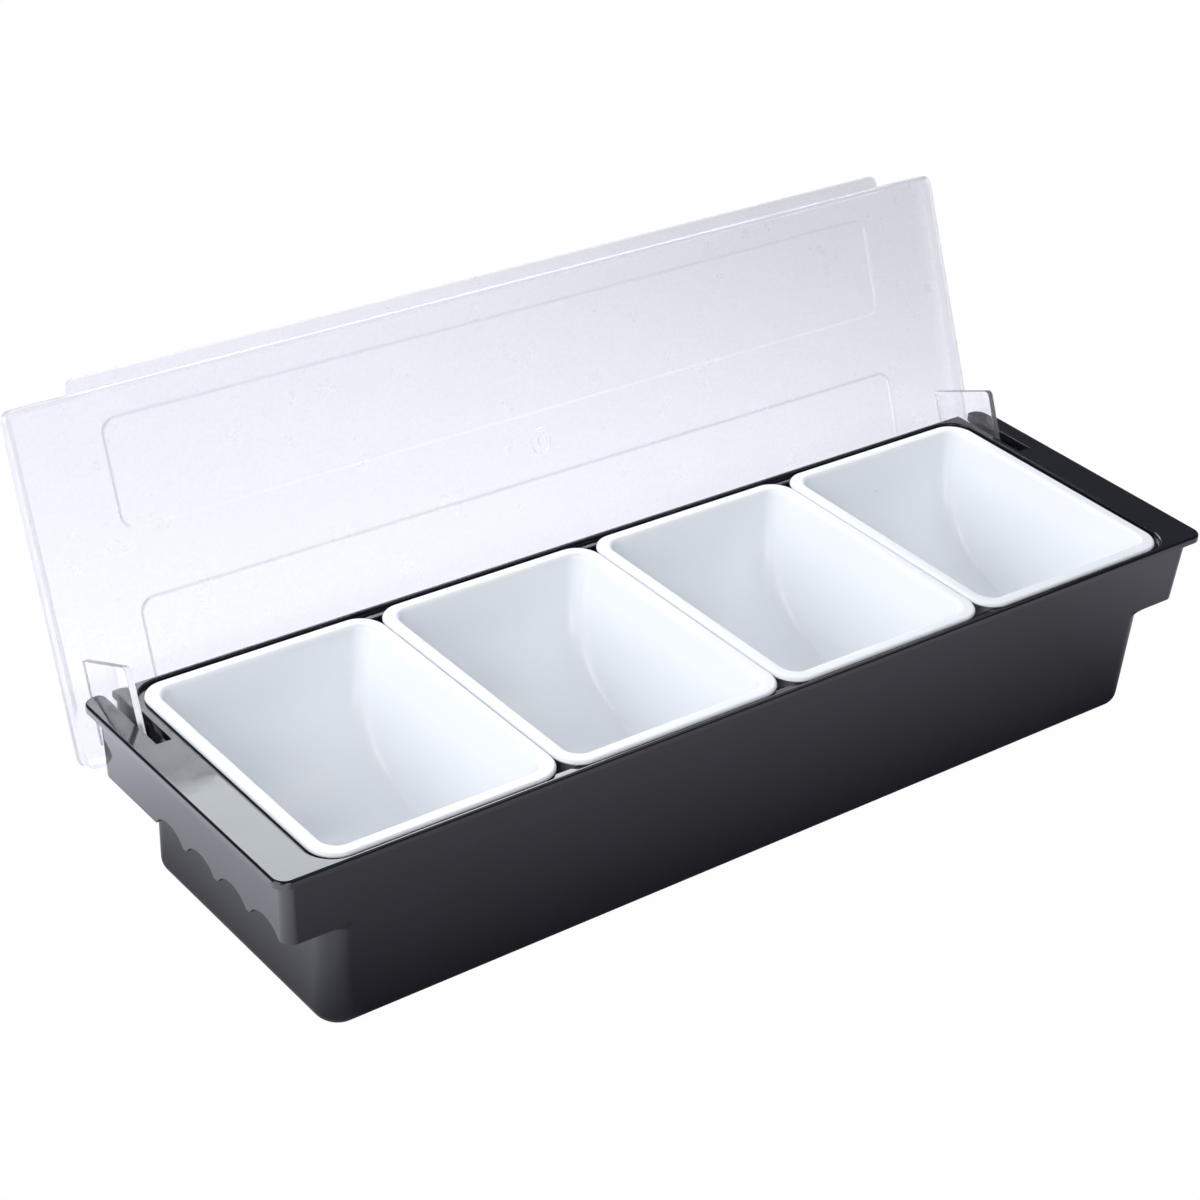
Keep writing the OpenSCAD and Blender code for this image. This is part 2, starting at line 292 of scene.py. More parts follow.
def round_bar(name, place, length, r):
    """A round bar about the middle of place and along its Z axis."""
    bm = bmesh.new()
    bmesh.ops.create_cone(
        bm, cap_ends=True, segments=BORE_STEPS, radius1=r, radius2=r, depth=length, matrix=place
    )
    return made(name, bm)


def rod(x0, x1, y, z, r):
    """A round bar along X, as a tool for the Boolean steps."""
    place = Matrix.Translation(((x0 + x1) / 2, y, z)) @ Matrix.Rotation(math.pi / 2, 4, "Y")
    return round_bar("rod", place, x1 - x0, r)


def post(x, y, z0, z1, r):
    """A round bar along Z, as a tool for the Boolean steps."""
    return round_bar("post", Matrix.Translation((x, y, (z0 + z1) / 2)), z1 - z0, r)


def mirrored(obj):
    """A copy of obj at the other end of the caddy."""
    bm = bmesh.new()
    bm.from_mesh(obj.data)
    bmesh.ops.scale(bm, vec=(-1, 1, 1), verts=bm.verts)
    return made(obj.name, bm)


def settle(obj):
    """Applies the modifiers of obj to its mesh."""
    bpy.context.view_layer.update()
    graph = bpy.context.evaluated_depsgraph_get()
    mesh = bpy.data.meshes.new_from_object(obj.evaluated_get(graph))
    obj.modifiers.clear()
    obj.data = mesh


def combine(obj, operation, tools):
    """Applies an exact Boolean of obj with each tool in turn, and deletes the tools."""
    for tool in tools:
        step = obj.modifiers.new(operation, "BOOLEAN")
        step.operation = operation
        step.solver = "EXACT"
        step.object = tool
        settle(obj)
        bpy.data.objects.remove(tool)


def cut_both_ends(obj, tool):
    """Cuts tool and its mirror image out of obj."""
    combine(obj, "DIFFERENCE", [mirrored(tool), tool])


def tidy(obj):
    """Merges the double points that the Boolean steps leave."""
    bm = bmesh.new()
    bm.from_mesh(obj.data)
    bmesh.ops.remove_doubles(bm, verts=bm.verts, dist=MERGE)
    bm.to_mesh(obj.data)
    bm.free()


def soften(obj, width, angle):
    """Rounds every edge that turns more than angle."""
    step = obj.modifiers.new("edges", "BEVEL")
    step.width = width
    step.segments = 2
    step.limit_method = "ANGLE"
    step.angle_limit = math.radians(angle)
    step.use_clamp_overlap = False
    settle(obj)


def shade(obj):
    """Smooth shading that keeps flat faces flat and sharp corners sharp."""
    mesh = obj.data
    mesh.polygons.foreach_set("use_smooth", [True] * len(mesh.polygons))
    mesh.set_sharp_from_angle(angle=math.radians(SMOOTH_TURN))
    step = obj.modifiers.new("normals", "WEIGHTED_NORMAL")
    step.keep_sharp = True
    step.weight = 80


# Building the tray


def fillet_in(r, h):
    """How far a fillet of radius r draws its wall in, at a height above the floor."""
    return 0 if h >= r else r - math.sqrt(r * r - (r - h) ** 2)


def insert_end_x(depth):
    """Half length of the outermost insert's wall at a depth below the flange's top."""
    return last_insert_x + hollow_hx + insert_wall - insert_slope * depth


body_top_hx = insert_end_x(0) + insert_end_gap + tray_wall
body_mid_hx = insert_end_x(skirt_h) + insert_end_gap + tray_wall
body_low_hx = body_mid_hx - wall_draft * skirt_low / flange_low


def wall_y(z):
    """Half width of the tray's outer wall at a height above the base."""
    return wall_hy - wall_draft * (flange_low - z) / flange_low


def body_x(z):
    """Half length of the tray's body at a height above the base."""
    if z < skirt_low:
        return body_low_hx + (body_mid_hx - body_low_hx) * z / skirt_low
    return body_mid_hx + (body_top_hx - body_mid_hx) * (z - skirt_low) / (flange_low - skirt_low)


def body_ring(z, inset=0, drawn_in=0):
    """One ring of the body at a height, shrunk by a wall and by a fillet."""
    s = inset + drawn_in
    return ring(body_x(z) - s, wall_y(z) - s, body_r - s, z)


def foot_rings(inset, floor_z, foot_r):
    """Rings of the body's fillet above its floor."""
    heights = [foot_r * (1 - math.cos(math.radians(a))) for a in range(0, 91, FOOT_TURN)]
    return [body_ring(floor_z + h, inset, fillet_in(foot_r, h)) for h in heights]


def skirt_ring(z, inset):
    """One ring of the block that the end skirts are cut from."""
    hx = skirt_hx - skirt_draft * (flange_low - z) / (flange_low - skirt_low)
    return ring(hx - inset, wall_y(z) - inset, skirt_r - inset, z)


def tray_outside():
    """The tray before it is hollowed: body, skirt block and flange."""
    body = foot_rings(0, 0, base_r) + [body_ring(skirt_low), body_ring(skirt_low + CUT, CUT)]
    under = [(d, flange_low + h) for d, h in reversed_foot(tray_edge_r)]
    over = [(d, tray_h - flange_edge_r + h) for d, h in edge_steps(flange_edge_r)]
    upper = [skirt_ring(skirt_low, 0), skirt_ring(flange_low, 0)]
    upper += [ring(flange_hx - d, flange_hy - d, flange_r - d, z) for d, z in under + over]
    tray = loft("tray_shell", body)
    combine(tray, "UNION", [loft("upper", upper)])
    return tray


def tray_hollow():
    """What is cut out of the tray from above, with the edges of the seat rounded."""
    rings = foot_rings(tray_wall, tray_wall, base_r - tray_wall)
    rings.append(body_ring(skirt_low, tray_wall))
    e = seat_edge_r
    top_x = body_x(flange_low) - tray_wall
    top_y = wall_y(flange_low) - tray_wall
    top_r = body_r - tray_wall
    rings += [ring(top_x + d, top_y + d, top_r + d, seat_z - e + h) for d, h in edge_steps(e)]
    rings.append(ring(seat_hx, seat_hy, seat_r, seat_z))
    e = seat_lip_r
    rings += [ring(seat_hx + d, seat_hy + d, seat_r + d, tray_h - e + h) for d, h in edge_steps(e)]
    rings.append(ring(seat_hx + e, seat_hy + e, seat_r + e, tray_h + CUT))
    return loft("hollow", rings)


def grip_hollow():
    """The space for the fingers between the body and both end skirts."""
    inside = loft("grips", [skirt_ring_below(), skirt_ring(flange_low, skirt_t)])
    below = skirt_low - 2 * CUT
    above = flange_low + CUT
    body = loft(
        "body",
        [
            ring(body_mid_hx, wall_y(skirt_low), body_r, below),
            body_ring(skirt_low),
            body_ring(flange_low),
            ring(body_top_hx, wall_y(flange_low), body_r, above),
        ],
    )
    combine(inside, "DIFFERENCE", [body])
    return inside


def skirt_ring_below():
    """The inner ring of the skirt block, just below its foot."""
    hx = skirt_hx - skirt_draft - skirt_t
    return ring(hx, wall_y(skirt_low) - skirt_t, skirt_r - skirt_t, skirt_low - CUT)


def cheeks():
    """The two blocks beside the slot at the right end, which carry the ear."""
    low = pivot_z - cheek_low
    rear = wall_y(low) - tray_wall / 2
    front = pivot_y - cheek_front
    top = flange_low + flange_t / 2
    inner_x = ear_x - slot_hw
    outer_x = ear_x + slot_hw
    end_x = skirt_hx - skirt_t / 2 - skirt_draft
    return [
        block((inner_x - cheek_t, front, low), (inner_x, rear, top)),
        block((outer_x, front, low), (end_x, rear, top)),
    ]


def slot():
    """What is cut away for the ear at the right end, with the lobe's inner corner rounded."""
    tool = block(
        (ear_x - slot_hw, pivot_y - slot_front, skirt_low - CUT),
        (ear_x + slot_hw, flange_hy + 2 * CUT, tray_h + CUT),
    )
    corner = block(
        (ear_x + slot_hw - CUT, flange_hy - lobe_r, flange_low - CUT),
        (ear_x + slot_hw + lobe_r, flange_hy + CUT, tray_h + CUT / 2),
    )
    round_end = post(
        ear_x + slot_hw + lobe_r, flange_hy - lobe_r, flange_low - 2 * CUT, tray_h + 2 * CUT, lobe_r
    )
    combine(corner, "DIFFERENCE", [round_end])
    combine(tool, "UNION", [corner])
    return tool


def build_tray():
    """The black tray with its seat, grips, slots and sockets."""
    tray = tray_outside()
    combine(tray, "DIFFERENCE", [grip_hollow()])
    for cheek in cheeks():
        combine(tray, "UNION", [mirrored(cheek), cheek])
    combine(tray, "DIFFERENCE", [tray_hollow()])
    cut_both_ends(tray, slot())
    mouth_x = ear_x + slot_hw
    end_x = mouth_x + stud_reach + socket_end_gap
    cut_both_ends(tray, rod(mouth_x - CUT, end_x, pivot_y, pivot_z, stud_r + stud_clear))
    r = ((scallop_w / 2) ** 2 + scallop_d**2) / (2 * scallop_d)
    scallop_z = skirt_low + scallop_d - r
    first = -wall_y(skirt_low) + scallop_start + scallop_w / 2
    for i in range(scallop_count):
        y = first + i * (scallop_w + scallop_land)
        cut_both_ends(tray, rod(body_top_hx + skirt_t, flange_hx + CUT, y, scallop_z, r))
    tidy(tray)
    soften(tray, tray_edge_r, angle=40)
    return tray


def build_fillets():
    """Soft inner corners under the wings' lower edges, sunk a hair into the tray."""
    r = wing_fillet_r
    steps = [(g, skirt_low - r + h) for g, h in edge_steps(r)] + [(r, skirt_low + CUT)]
    piece = loft("tray_fillets", [ring(body_x(z) + g, wall_y(z) + g, body_r + g, z) for g, z in steps])
    low, high = skirt_low - r, skirt_low + CUT
    inside = loft("inside", [skirt_ring(low - CUT, skirt_t), skirt_ring(high + CUT, skirt_t)])
    limit = loft("limit", [skirt_ring(low - CUT / 2, HAIR), skirt_ring(high + CUT / 2, HAIR)])
    middle = body_mid_hx - body_r
    combine(limit, "DIFFERENCE", [inside, block((-middle, -FAR, -FAR), (middle, FAR, FAR))])
    combine(piece, "INTERSECT", [limit])
    return piece


# Building the inserts


def insert_ring(grow, h):
    """One ring of an insert's wall at a height above the hollow's floor.

    Low in the scoop the corners shrink, so that hollow_flat of each end stays flat.
    """
    lean = insert_slope * (hollow_d - h)
    x = hollow_hx + grow - lean - fillet_in(floor_r + grow, h + grow)
    y = hollow_hy + grow - lean - fillet_in(scoop_r + grow, h + grow)
    return ring(x, y, min(hollow_r + grow, y - hollow_flat), hollow_floor + h)


def build_insert(name, x):
    """One white insert: a scooped hollow with a wide soft-edged rim."""
    rise = [scoop_r * (1 - math.cos(math.radians(a))) for a in range(0, 91, SCOOP_TURN)]
    rings = [insert_ring(insert_wall, h - insert_wall * (1 - h / scoop_r)) for h in rise]
    rings.append(insert_ring(insert_wall, hollow_d - seat_d))
    edge = [(d, seat_z + h) for d, h in reversed_foot(rim_foot_r)]
    edge += [(d, tray_h - rim_edge_r + h) for d, h in edge_steps(rim_edge_r)]
    rings += [ring(rim_hx - d, rim_hy - d, rim_r - d, z) for d, z in edge]
    e = lip_edge_r
    lip = [
        ring(hollow_hx + d, hollow_hy + d, hollow_r + d, tray_h - e + h)
        for d, h in reversed(edge_steps(e))
    ]
    rings += lip
    rings += [insert_ring(0, h) for h in reversed(rise)]
    piece = loft(name + "_cup", rings)
    piece.data.transform(Matrix.Translation((x, 0, 0)))
    return piece


# Building the lid


def leaned(rings):
    """The rings with the fall of the lid's plate towards its front edge."""
    slope = lid_fall / (2 * lid_hy)
    return [[(x, y, z + slope * (y - lid_hy)) for x, y, z in one] for one in rings]


def lid_cover():
    """The closed lid's plate and skirt, with all edges rounded."""
    inner_hx, inner_hy, inner_r = lid_hx - lid_t, lid_hy - lid_t, lid_r - lid_t
    inside = [
        ring(inner_hx - d, inner_hy - d, inner_r - d, lid_under - lid_inner_r + h)
        for d, h in reversed(edge_steps(lid_inner_r))
    ]
    f = lid_foot_r
    foot_in = [
        ring(inner_hx + d, inner_hy + d, inner_r + d, lid_foot_z + f - h)
        for d, h in edge_steps(f)
    ]
    foot_out = [ring(lid_hx - d, lid_hy - d, lid_r - d, lid_foot_z + h) for d, h in reversed_foot(f)]
    top = [
        ring(lid_hx - d, lid_hy - d, lid_r - d, lid_top - lid_edge_r + h)
        for d, h in edge_steps(lid_edge_r)
    ]
    return loft("lid_cover", leaned(inside) + foot_in + foot_out + leaned(top))


def panel_rings(side, z, draw, deep):
    """Rings of a panel's soft step, from deep inside the plate up to the panel's height.

    side is -1 for the front panel and 1 for the rear one. panel_soft is the share of the step
    that rises in a soft curve.
    """
    steps = [i / PANEL_STEPS for i in range(PANEL_STEPS + 1)]
    curve = [(1 - math.cos(math.pi * s)) / 2 for s in steps]
    rise = [panel_d * ((1 - panel_soft) * s + panel_soft * c) for s, c in zip(steps, curve)]
    hx, hy = lid_hx - panel_end - draw, panel_w / 2 - draw
    centre = side * (lid_hy - panel_side - panel_w / 2)
    rings = [ring(hx, hy, panel_r - draw, z - deep)]
    rings += [
        ring(hx - s * panel_slope, hy - s * panel_slope, panel_r - draw - s * panel_slope, z + h)
        for s, h in zip(steps, rise)
    ]
    return leaned([[(x, y + centre, height) for x, y, height in one] for one in rings])


def finger_lip():
    """The strip along the lid's front that a finger lifts it by."""
    low, high = lid_under + lip_skin, lid_top - lip_skin
    hx = lid_hx - lip_inset
    edge = [(d, low + h) for d, h in reversed_foot(lip_round)]
    edge += [(d, high - lip_round + h) for d, h in edge_steps(lip_round)]
    rings = [ring(hx - d, lip_w - d, lip_r - d, z) for d, z in edge]
    return loft("lip", leaned([[(x, y - lid_hy, z) for x, y, z in one] for one in rings]))


def ear():
    """The right ear with its outward stud, in the closed lid's place."""
    y0, y1 = pivot_y - ear_front, pivot_y + ear_rear
    z0, z1 = pivot_z - ear_low, lid_under + lid_t / 4
    outline = [(y1, z1), (y0, z1)]
    for centre_y, start in ((y0 + ear_r, 180), (y1 - ear_r, 270)):
        for i in range(ARC_STEPS + 1):
            a = math.radians(start + 90 * i / ARC_STEPS)
            outline.append((centre_y + ear_r * math.cos(a), z0 + ear_r + ear_r * math.sin(a)))
    sides = [[(x, y, z) for y, z in outline] for x in (ear_x - ear_t / 2, ear_x + ear_t / 2)]
    piece = loft("ear", sides)
    combine(piece, "UNION", [rod(ear_x, ear_x + slot_hw + stud_reach, pivot_y, pivot_z, stud_r)])
    return piece


def gate_mark():
    """The ring and the stub that the mould's gate leaves."""
    under = lid_under + lid_fall * (gate_y - lid_hy) / (2 * lid_hy)
    low, high = under - gate_h, under + lid_t / 2
    hoop = post(gate_x, gate_y, low, high, gate_r)
    combine(hoop, "DIFFERENCE", [post(gate_x, gate_y, low - CUT, high + CUT, gate_r - gate_w)])
    return [hoop, post(gate_x, gate_y, low - gate_h, high, gate_stub_r)]


def finish_edges(lid):
    """Gives the lid's faces their finishes, while it is closed. What isn't named stays frosted.

    The sides of the ears are polished. The plate's outer edge and the left and front steps of the
    panels are tinted darker as painted shade; the skirt's foot and its ends a little less so.
    """
    for face in lid.data.polygons:
        x, y, z = face.center
        y -= lid_mid_y
        side, front, up = face.normal
        on_ear = abs(abs(x) - ear_x) < ear_t / 2 + HAIR and z < lid_under - lid_fall
        at_end = abs(x) > lid_hx - lid_edge_r
        at_side = lid_hy - lid_edge_r < abs(y) < lid_hy + HAIR
        outer = (at_end and abs(y) < lid_hy + HAIR) or at_side
        rounded = 0.3 < up < 0.9 and z > lid_under - lid_fall
        foot = z < lid_foot_z + lid_foot_r
        end = abs(x) > lid_hx - HAIR and abs(side) > 0.9
        in_panel = abs(x) < lid_hx - panel_end + CUT and abs(y) < lid_hy - panel_side + CUT
        step = in_panel and 0.6 < abs(up) < 0.995
        left_or_front = min(side, front) * math.copysign(1, up) < -0.15
        finish = FROSTED
        if on_ear and abs(side) > 0.5:
            finish = POLISHED
        # The next three finishes tint faces darker by where they face and lie: painted shade
        elif outer and rounded:
            finish = PAINTED_SHADE_EDGE
        elif (outer and foot) or end:
            finish = VEILED_AND_PAINTED_SHADE
        elif step and left_or_front:
            finish = PAINTED_SHADE_EDGE
        face.material_index = finish


def build_lid():
    """The clear lid, built closed and then turned back to where it rests open."""
    lid = lid_cover()
    for side in (-1, 1):
        combine(lid, "UNION", [loft("panel", panel_rings(side, lid_top, 0, lid_t / 2))])
        combine(lid, "DIFFERENCE", [loft("recess", panel_rings(side, lid_under, recess_draw, CUT))])
    combine(lid, "UNION", [finger_lip()] + gate_mark())
    lid.data.transform(Matrix.Translation((0, lid_mid_y, 0)))
    cut_both_ends(lid, rod(lid_hx - lid_t - CUT / 2, lid_hx + CUT, pivot_y, pivot_z, turn_r))
    right = ear()
    combine(lid, "UNION", [mirrored(right), right])
    tidy(lid)
    soften(lid, lid_edge_bevel, angle=50)
    finish_edges(lid)
    pivot = Vector((0, pivot_y, pivot_z))
    turn = Matrix.Rotation(-open_angle, 4, "X")
    lid.data.transform(Matrix.Translation(pivot) @ turn @ Matrix.Translation(-pivot))
    return lid


# Materials


class Nodes:
    """Small helper that adds nodes to the tree of a material or a world and links them."""

    def __init__(self, owner):
        owner.use_nodes = True
        self.tree = owner.node_tree

    def add(self, kind, **values):
        """A new node. Values whose names are sockets are set or linked, and others are properties."""
        node = self.tree.nodes.new(kind)
        for key, value in values.items():
            if key in node.inputs:
                self.feed(node.inputs[key], value)
            else:
                setattr(node, key, value)
        return node

    def feed(self, socket, value):
        """Links another node's output to the socket, or sets the socket's own value."""
        if isinstance(value, bpy.types.NodeSocket):
            self.tree.links.new(value, socket)
        else:
            socket.default_value = value

    def fill(self, node, values):
        """Feeds the sockets of node that values names."""
        for name, value in values.items():
            self.feed(node.inputs[name], value)

    def finish(self, shader):
        """Makes shader the material's surface."""
        self.feed(self.tree.nodes["Material Output"].inputs["Surface"], shader)

    def noise(self, scale, detail=2.0, roughness=0.5):
        """Noise in the object's own space, with scale in features for each metre."""
        where = self.add("ShaderNodeTexCoord").outputs["Object"]
        node = self.add("ShaderNodeTexNoise", Vector=where)
        self.fill(node, {"Scale": scale, "Detail": detail, "Roughness": roughness})
        return node.outputs["Fac"]

    def ranged(self, value, low, high, start=0.0, end=1.0):
        """value mapped from start..end to low..high."""
        node = self.add("ShaderNodeMapRange", Value=value)
        self.fill(node, {"From Min": start, "From Max": end, "To Min": low, "To Max": high})
        return node.outputs["Result"]

    def blend(self, share, first, second):
        """The colour between first and second, each a colour or another node's output."""
        node = self.add("ShaderNodeMix", data_type="RGBA")
        self.feed(node.inputs["Factor"], share)
        for name, value in (("A", first), ("B", second)):
            own = isinstance(value, bpy.types.NodeSocket)
            self.feed(node.inputs[name], value if own else (*value, 1))
        return node.outputs["Result"]

    def math(self, operation, first, second=None):
        """One sum of a Math node, of sockets or numbers."""
        node = self.add("ShaderNodeMath", operation=operation)
        self.feed(node.inputs[0], first)
        if second is not None:
            self.feed(node.inputs[1], second)
        return node.outputs["Value"]

    def choose(self, share, first, second):
        """The number between first and second."""
        node = self.add("ShaderNodeMix", data_type="FLOAT")
        self.fill(node, {"Factor": share, "A": first, "B": second})
        return node.outputs["Result"]

    def mix_shaders(self, share, first, second):
        """The mix of two shader nodes, or of a mix and a node."""
        node = self.add("ShaderNodeMixShader")
        self.feed(node.inputs[0], share)
        for i, shader in ((1, first), (2, second)):
            out = shader if isinstance(shader, bpy.types.NodeSocket) else shader.outputs[0]
            self.feed(node.inputs[i], out)
        return node.outputs["Shader"]

    def bump(self, height, distance, base=None):
        """A bump of one height pattern, on top of another bump."""
        node = self.add("ShaderNodeBump", Height=height, Distance=distance)
        if base is not None:
            self.feed(node.inputs["Normal"], base)
        return node.outputs["Normal"]


def new_material(name):
    """A new material, the helper for its nodes and its main shader."""
    material = bpy.data.materials.new(name)
    n = Nodes(material)
    return material, n, n.tree.nodes["Principled BSDF"]


def black_plastic():
    """Glossy black moulded plastic with faint flow waves, orange peel and handling marks."""
    material, n, shader = new_material("black_plastic")
    tone = n.noise(35, detail=3)
    smear = n.noise(60, detail=5, roughness=0.65)
    waves = n.bump(n.noise(45, detail=1), 0.08 * MM)
    peel = n.bump(n.noise(800, detail=2), 0.004 * MM, base=waves)
    looks = {
        "Base Color": n.blend(tone, (0.0070, 0.0070, 0.0115), (0.0110, 0.0110, 0.0175)),
        "Roughness": n.ranged(smear, 0.06, 0.16, 0.35, 0.7),
        "Normal": peel,
        "IOR": 1.53,
    }
    n.fill(shader, looks)
    return material


def white_plastic():
    """Glossy white moulded plastic, faintly uneven, with a few tiny specks."""
    material, n, shader = new_material("white_plastic")
    base = n.blend(n.noise(22, detail=2), (0.855, 0.875, 0.905), (0.87, 0.89, 0.92))
    where = n.add("ShaderNodeTexCoord").outputs["Object"]
    cells = n.add("ShaderNodeTexVoronoi", Vector=where, Scale=38.0)
    speck = n.ranged(cells.outputs["Distance"], 1.0, 0.0, 0.008, 0.016)
    looks = {
        "Base Color": n.blend(speck, base, (0.42, 0.43, 0.45)),
        "Roughness": n.ranged(n.noise(40, detail=3), 0.2, 0.26, 0.3, 0.7),
        "Normal": n.bump(n.noise(30, detail=1), 0.06 * MM),
        "IOR": 1.5,
    }
    n.fill(shader, looks)
    return material


def clear_plastic(name, haze, tint=(1.0, 1.0, 1.0), gloss=0.5):
    """Clear moulded plastic with a faint grain, which lets the lamps' light through.

    haze is a (low, high) roughness, and gloss is how strongly the surface mirrors.
    """
    material, n, shader = new_material(name)
    grain = n.noise(600, detail=2, roughness=0.6)
    veil = n.ranged(grain, 0.0, 1.0, 0.3, 0.7)
    low = [0.915 * tint[0], 0.912 * tint[1], 0.935 * tint[2]]
    smear = n.noise(70, detail=4, roughness=0.6)
    waves = n.bump(n.noise(30, detail=1), 0.05 * MM)
    looks = {
        "Base Color": n.blend(veil, low, tint),
        "Roughness": n.ranged(smear, *haze, 0.3, 0.7),
        "Normal": n.bump(grain, 0.002 * MM, base=waves),
        "IOR": 1.5,
        "Transmission Weight": 0.97,
        "Specular IOR Level": gloss,
    }
    n.fill(shader, looks)
    passing = n.add("ShaderNodeBsdfTransparent", Color=(0.93, 0.93, 0.955, 1))
    rays = n.add("ShaderNodeLightPath")
    n.finish(n.mix_shaders(rays.outputs["Is Shadow Ray"], shader, passing))
    return material


def lid_finishes():
    """The lid's finishes, in the order of FROSTED, POLISHED, PAINTED_SHADE_EDGE and VEILED_AND_PAINTED_SHADE."""
    return [
        clear_plastic("clear_plastic", (0.26, 0.36)),
        clear_plastic("polished_clear_plastic", (0.03, 0.06)),
        # Darker tints: painted shade on the edges, steps, foot and ends these finishes cover
        clear_plastic("painted_shade_clear_plastic", (0.35, 0.45), (0.8, 0.8, 0.83), 0.15),
        clear_plastic("veiled_painted_shade_clear_plastic", (0.35, 0.45), (0.88, 0.88, 0.9), 0.15),
    ]


def painted_floor_in_reflections(n, x, y):
    """How bright reflections see the floor, which is painted light and shade.

    A painted contact shadow makes it darker towards the caddy's foot, and beside its left end, on the key's
    side, painted light brightens it.
    """
    beside = n.math("MAXIMUM", n.math("SUBTRACT", n.math("ABSOLUTE", x), body_low_hx), 0.0)
    before = n.math("MAXIMUM", n.math("SUBTRACT", n.math("ABSOLUTE", y), wall_y(0)), 0.0)
    away = n.math("SQRT", n.math("ADD", n.math("POWER", beside, 2.0), n.math("POWER", before, 2.0)))
    # Painted contact shadow: dark at the caddy's foot, full brightness 0.125 m away
    painted_contact_shade = n.ranged(away, 0.06, 1.05, 0.0, 0.125)
    # Painted light on the key's side, to the left of the caddy
    painted_key_light = n.math("MULTIPLY", n.ranged(x, 2.35, 1.0, -0.30, -0.20), n.ranged(y, 0.83, 1.06, 0.02, 0.15))
    painted_left_light = n.ranged(x, 0.55, 0.0, -0.25, -0.20)
    return n.math("ADD", n.math("MULTIPLY", painted_contact_shade, painted_key_light), painted_left_light)


def painted_floor_through_lid(n, x, y):
    """How bright the floor is through clear plastic: painted shade, a little greyer towards the rear right.
    """
    # Painted shade that grows to the right and towards the rear
    painted_fall_across = n.math("POWER", n.ranged(x, 0.0, 1.0, 0.0, 0.45), 2.0)
    painted_rear_shade = n.math("ADD", n.math("MULTIPLY", painted_fall_across, 0.27), n.ranged(y, 0.0, 0.2, 0.15, 0.45))
    return n.math("SUBTRACT", n.ranged(x, 1.09, 1.14, -0.6, 0.1), painted_rear_shade)


def floor_material():
    """Pale floor, white to the camera, with painted light and shade in reflections and through the lid."""
    material, n, shader = new_material("pale_floor")
    n.fill(shader, {"Base Color": (0.86, 0.86, 0.875, 1), "Roughness": 0.9, "Specular IOR Level": 0.0})
    where = n.add("ShaderNodeTexCoord").outputs["Object"]
    split = n.add("ShaderNodeSeparateXYZ", Vector=where)
    place = split.outputs["X"], split.outputs["Y"]
    rays = n.add("ShaderNodeLightPath").outputs
    # Reflections and the view through the lid see a glowing floor with painted light and shade
    level = n.choose(rays["Is Glossy Ray"], 1.0, painted_floor_in_reflections(n, *place))
    level = n.choose(rays["Is Transmission Ray"], level, painted_floor_through_lid(n, *place))
    hue = n.blend(rays["Is Transmission Ray"], (0.98, 0.98, 1.1), (0.965, 0.97, 1.055))
    glow = n.add("ShaderNodeEmission", Color=hue, Strength=level)
    white = n.add("ShaderNodeEmission", Color=(1, 1, 1, 1), Strength=1.0)
    lit = n.mix_shaders(rays["Is Glossy Ray"], shader, glow)
    whitened = n.math("MULTIPLY", rays["Is Camera Ray"], 0.98)
    n.finish(n.mix_shaders(whitened, lit, white))
    return material


# Studio


def softbox(name, at, target, size, radiance, tint=(1, 1, 1)):
    """A rectangular lamp that faces target. radiance is the brightness of its surface."""
    width, height = size
    lamp = bpy.data.lights.new(name, "AREA")
    lamp.shape = "RECTANGLE"
    lamp.size = width
    lamp.size_y = height
    lamp.energy = radiance * math.pi * width * height
    lamp.color = tint
    obj = bpy.data.objects.new(name, lamp)
    obj.location = at
    obj.rotation_mode = "QUATERNION"
    obj.rotation_quaternion = (Vector(target) - Vector(at)).to_track_quat("-Z", "Y")
    bpy.context.scene.collection.objects.link(obj)
    return obj


def world():
    """White for the camera and through the lid, and elsewhere dimmer towards the rear right.

    Reflections see it dark, but for a soft glow at the rear right.
    """
    surroundings = bpy.data.worlds.new("studio")
    bpy.context.scene.world = surroundings
    n = Nodes(surroundings)
    n.tree.nodes.clear()
    aim = n.add("ShaderNodeVectorMath", operation="DOT_PRODUCT")
    n.feed(aim.inputs[0], n.add("ShaderNodeTexCoord").outputs["Generated"])
    n.feed(aim.inputs[1], (0.85, 0.5, 0.1))
    toward_rear_right = aim.outputs["Value"]
    rays = n.add("ShaderNodeLightPath").outputs
    glow = n.ranged(toward_rear_right, 0.15, 1.2, 0.7, 0.95)
    share = n.ranged(rays["Is Glossy Ray"], 1.0, glow)
    level = n.math("MULTIPLY", n.ranged(toward_rear_right, 0.64, 0.12, -0.2, 0.9), share)
    fill = n.add("ShaderNodeBackground", Color=(0.93, 0.965, 1.0, 1), Strength=level)
    white = n.add("ShaderNodeBackground", Color=(1, 1, 1, 1))
    seen = n.math("MAXIMUM", rays["Is Camera Ray"], rays["Is Transmission Ray"])
    n.add("ShaderNodeOutputWorld", Surface=n.mix_shaders(seen, fill, white))


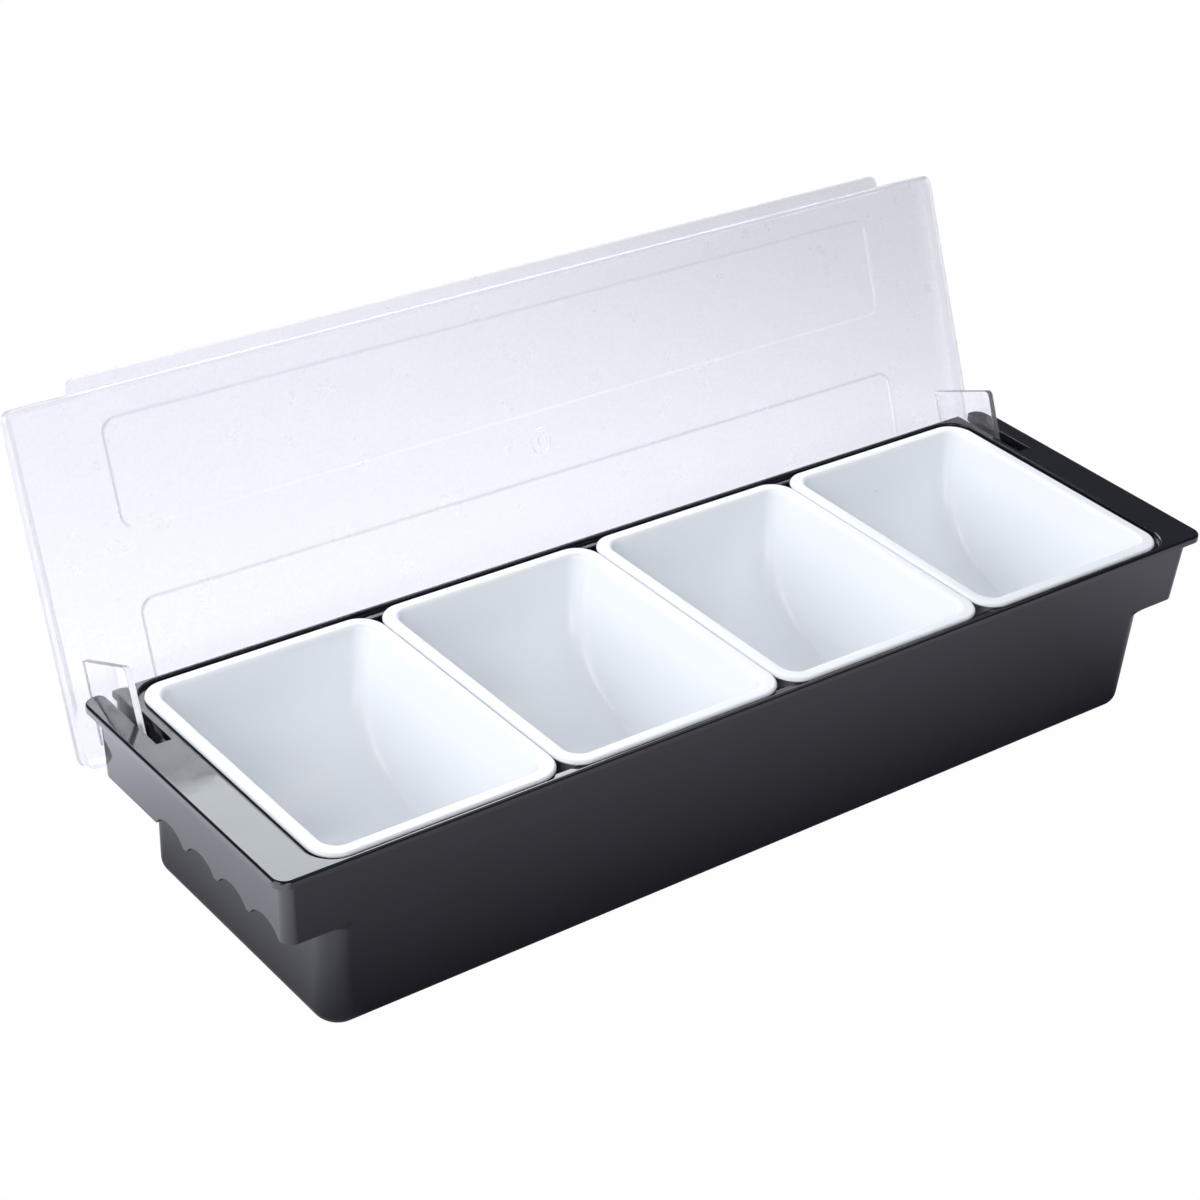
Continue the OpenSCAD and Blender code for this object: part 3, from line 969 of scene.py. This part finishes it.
def studio():
    """Floor, lamps and world."""
    bm = bmesh.new()
    bmesh.ops.create_grid(bm, x_segments=1, y_segments=1, size=FLOOR_REACH)
    floor = made("floor", bm)
    floor.data.materials.append(floor_material())
    softbox("key", at=(-2.4, -0.41, 1.32), target=(0, 0, 0.06), size=(1.9, 1.9), radiance=3.75)
    cool = (0.93, 0.985, 1.04)
    softbox("back", at=(0.42, 1.1, 0.98), target=(-0.22, 0, 0.08), size=(0.7, 0.6), radiance=7.2, tint=cool)
    softbox("top", at=(0.75, -0.2, 1.25), target=(0, 0, 0.05), size=(1.1, 0.6), radiance=1.0)
    softbox("side", at=(0.76, 0.9, 0.77), target=(0.05, 0, 0.08), size=(0.5, 0.42), radiance=1.5)
    glint = softbox("glint", at=(-0.3, -1.15, 0.38), target=(0, 0.1, 0.14), size=(0.7, 0.3), radiance=6.5)
    glint.visible_diffuse = False
    world()


def camera():
    """The camera at the photograph's place, with its lens and roll."""
    data = bpy.data.cameras.new("camera")
    data.sensor_width = CAMERA_SENSOR
    data.lens = CAMERA_LENS
    data.clip_start = CAMERA_NEAR
    data.clip_end = CAMERA_FAR
    obj = bpy.data.objects.new("camera", data)
    bpy.context.scene.collection.objects.link(obj)
    obj.location = CAMERA_AT
    obj.rotation_mode = "QUATERNION"
    level = CAMERA_LOOK.to_track_quat("-Z", "Y")
    obj.rotation_quaternion = Quaternion(CAMERA_LOOK.normalized(), -CAMERA_ROLL) @ level
    bpy.context.scene.camera = obj


def dress(piece, node, materials):
    """Gives a piece its finish, and lets it stand for its node and move with that node's body."""
    for material in materials:
        piece.data.materials.append(material)
    shade(piece)
    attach(piece, node)
    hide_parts(node)


bpy.context.scene.view_settings.view_transform = "Standard"
camera()
studio()
black = [black_plastic()]
dress(build_tray(), "tray", black)
dress(build_fillets(), "tray", black)
dress(build_lid(), "lid", lid_finishes())
white = [white_plastic()]
for insert in INSERTS:
    middle = (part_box(insert)[0].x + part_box(insert)[1].x) / 2
    dress(build_insert(insert, middle), insert, white)
